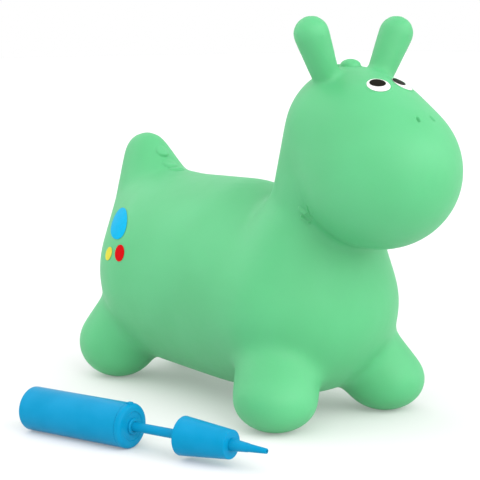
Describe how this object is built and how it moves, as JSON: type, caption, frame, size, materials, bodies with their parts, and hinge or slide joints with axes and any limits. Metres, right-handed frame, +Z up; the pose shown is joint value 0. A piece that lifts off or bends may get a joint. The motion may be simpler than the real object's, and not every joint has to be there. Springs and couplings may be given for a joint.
{
  "type": "bouncy ride-on animal",
  "caption": "Hollow blow-up animal that a small child sits on and bounces, with ear grips, round feet, a belly valve, and a hand pump lying beside it.",
  "frame": {"origin": "on the floor, under the middle of the box round the animal and its pump", "axes": "+X out of the animal's nose, +Y to its left, +Z up; the pump lies on the floor on its right side"},
  "size_m": [0.6026, 0.476, 0.4915],
  "materials": {
    "skin_green": "soft matt blown-up vinyl",
    "eye_white": "printed ink, satin",
    "pupil_dark": "printed ink, satin",
    "spot_blue": "printed ink, satin",
    "spot_yellow": "printed ink, satin",
    "spot_red": "printed ink, satin",
    "seat_green": "stiff moulded plastic, satin",
    "plug_white": "moulded plastic, satin",
    "pump_blue": "moulded plastic, satin to gloss",
    "piston_white": "moulded plastic, satin",
    "seal_black": "soft rubber, matt"
  },
  "bodies": {
    "root": {"body_skin": "skin_green", "valve_seat": "seat_green", "eye_white_right": "eye_white", "eye_white_left": "eye_white", "pupil_right": "pupil_dark", "pupil_left": "pupil_dark", "spot_blue": "spot_blue", "spot_yellow": "spot_yellow", "spot_red": "spot_red"},
    "plug": {"valve_plug": "plug_white"},
    "pump_shell": {"pump_barrel": "pump_blue", "pump_end_cap": "pump_blue"},
    "pump_seal": {"pump_cup_seal": "seal_black"},
    "pump_plunger": {"pump_piston": "piston_white", "pump_rod": "pump_blue", "pump_cone_grip": "pump_blue", "pump_nozzle": "pump_blue", "pump_valve_retainer": "piston_white"},
    "pump_flap": {"pump_valve_disc": "seal_black"}
  },
  "joints": [
    {"name": "plug_pull", "type": "slide", "parent": "root", "child": "plug", "axis": [0, 0, -1], "range_m": [0, 0.0125]},
    {"name": "pump_lift", "type": "slide", "parent": "root", "child": "pump_shell", "axis": [0, 0, 1], "range_m": [0, 0.25]},
    {"name": "pump_stroke", "type": "slide", "parent": "pump_shell", "child": "pump_seal", "axis": [0.9578, 0.2874, 0], "range_m": [-0.071, 0.054]},
    {"name": "grip_turn", "type": "hinge", "parent": "pump_seal", "child": "pump_plunger", "pos_m": [0.147, -0.14979, 0.0265], "axis": [0.9578, 0.2874, 0], "continuous": true},
    {"name": "valve_disc_lift", "type": "slide", "parent": "pump_plunger", "child": "pump_flap", "axis": [0.9578, 0.2874, 0], "range_m": [0, 0.001]}
  ]
}
